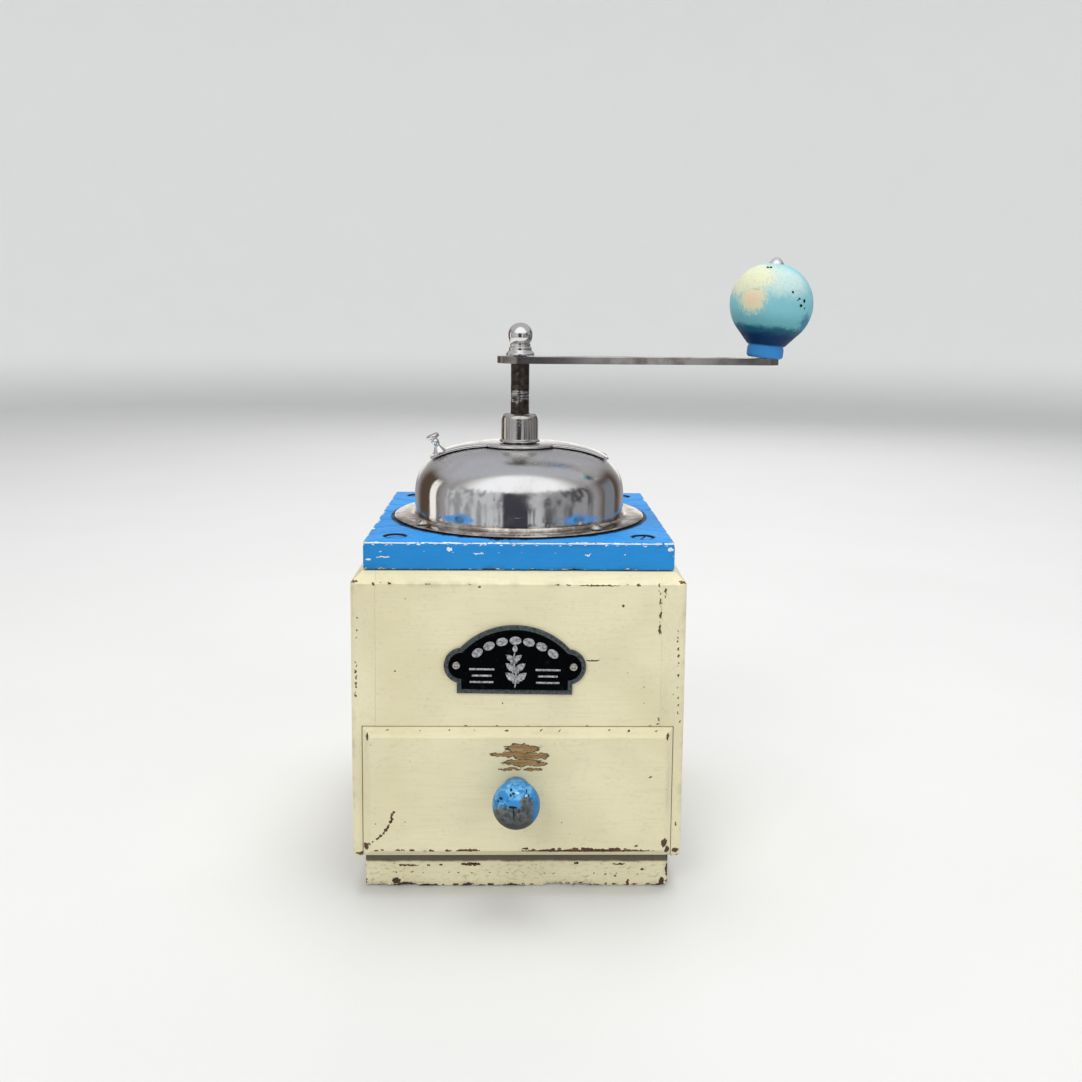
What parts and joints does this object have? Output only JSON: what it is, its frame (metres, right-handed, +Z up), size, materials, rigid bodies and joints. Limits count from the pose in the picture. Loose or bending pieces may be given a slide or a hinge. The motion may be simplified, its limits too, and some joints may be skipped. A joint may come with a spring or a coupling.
{
  "type": "hand crank coffee grinder",
  "caption": "Free-standing box coffee mill: painted wooden case with a drawer, domed chrome hopper with a turning half-moon lid, and a crank with a ball knob on top.",
  "frame": {"origin": "centre of the plinth's flat underside, which stands on the table", "axes": "+Z up the shaft, -Y towards the drawer and the name plate, +X towards the crank knob at rest"},
  "size_m": [0.1882, 0.1538, 0.2495],
  "materials": {
    "cream_paint": "hand-painted satin cream over wood, chipped at the edges",
    "blue_paint": "hand-painted satin mid blue over a white primer, chipped at the edges",
    "bare_wood": "bare planed wood, stained by coffee",
    "chrome": "polished plate with fine scratches and small pits",
    "dark_steel": "dark oxidised steel with worn turning marks",
    "bright_steel": "plain steel, slightly tarnished",
    "cast_iron": "rough cast, dark",
    "burr_steel": "hardened steel, oily",
    "spring_steel": "drawn wire",
    "plate_enamel": "pressed metal plate, black field and worn pewter relief",
    "knob_aqua": "turned wood in worn pale blue paint over darker blue",
    "knob_blue": "turned wood in mid blue paint, rubbed through to a grey primer"
  },
  "bodies": {
    "case": {"base_plinth": "cream_paint", "side_panel_left": "cream_paint", "side_panel_right": "cream_paint", "front_panel": "cream_paint", "back_panel": "cream_paint", "drawer_guide_left": "bare_wood", "drawer_guide_right": "bare_wood", "top_plate": "blue_paint", "corner_post_1": "bare_wood", "corner_post_2": "bare_wood", "corner_post_3": "bare_wood", "corner_post_4": "bare_wood", "top_plate_screw_1": "blue_paint", "top_plate_screw_2": "blue_paint", "top_plate_screw_3": "blue_paint", "top_plate_screw_4": "blue_paint", "base_nail_1": "bright_steel", "base_nail_2": "bright_steel", "base_nail_3": "bright_steel", "base_nail_4": "bright_steel", "name_plate": "plate_enamel", "name_plate_nail_left": "bright_steel", "name_plate_nail_right": "bright_steel", "dome_shell": "chrome", "shaft_collar": "chrome", "collar_nut": "bright_steel", "dome_screw_1": "chrome", "dome_screw_2": "chrome", "dome_screw_3": "chrome", "dome_screw_4": "chrome", "burr_housing": "cast_iron", "outer_burr": "burr_steel", "bearing_bridge": "cast_iron", "housing_screw_1": "bright_steel", "housing_screw_2": "bright_steel", "housing_screw_3": "bright_steel", "housing_screw_4": "bright_steel", "pressure_spring": "spring_steel", "lower_bridge": "cast_iron", "lower_bridge_screw_left": "bright_steel", "lower_bridge_screw_right": "bright_steel", "lock_nut": "bright_steel"},
    "drawer": {"drawer_front": "cream_paint", "drawer_side_left": "bare_wood", "drawer_side_right": "bare_wood", "drawer_back": "bare_wood", "drawer_bottom": "bare_wood", "drawer_knob": "knob_blue", "drawer_knob_screw": "bright_steel"},
    "lid": {"hopper_lid": "chrome", "lid_knob": "chrome"},
    "spindle_seat": {"thrust_pad": "bright_steel"},
    "adjuster": {"grind_screw": "bright_steel"},
    "crank": {"crank_shaft": "dark_steel", "crank_arm": "chrome", "finial_nut": "chrome", "inner_burr": "burr_steel", "drive_pin": "bright_steel", "knob_pin": "chrome"},
    "knob": {"crank_knob": "knob_aqua"}
  },
  "joints": [
    {"name": "drawer_slide", "type": "slide", "parent": "case", "child": "drawer", "axis": [0, -1, 0], "range_m": [0, 0.095]},
    {"name": "lid_turn", "type": "hinge", "parent": "case", "child": "lid", "pos_m": [0, 0, 0.168], "axis": [0, 0, 1], "range_deg": [0, 180]},
    {"name": "spindle_lift", "type": "slide", "parent": "case", "child": "spindle_seat", "axis": [0, 0, 1], "range_m": [-0.0005, 0.0005], "deforming": ["pressure_spring"]},
    {"name": "grind_turn", "type": "hinge", "parent": "spindle_seat", "child": "adjuster", "pos_m": [0, 0, 0.08], "axis": [0, 0, 1], "range_deg": [-180, 180]},
    {"name": "crank_turn", "type": "hinge", "parent": "spindle_seat", "child": "crank", "pos_m": [0, 0, 0.2], "axis": [0, 0, 1], "continuous": true},
    {"name": "knob_spin", "type": "hinge", "parent": "crank", "child": "knob", "pos_m": [0.1045, 0, 0.2066], "axis": [0.0993, 0, 0.9951], "continuous": true}
  ],
  "couplings": [
    {"joint": "grind_turn", "follows": "spindle_lift", "rad_per_m": 6283.2}
  ]
}
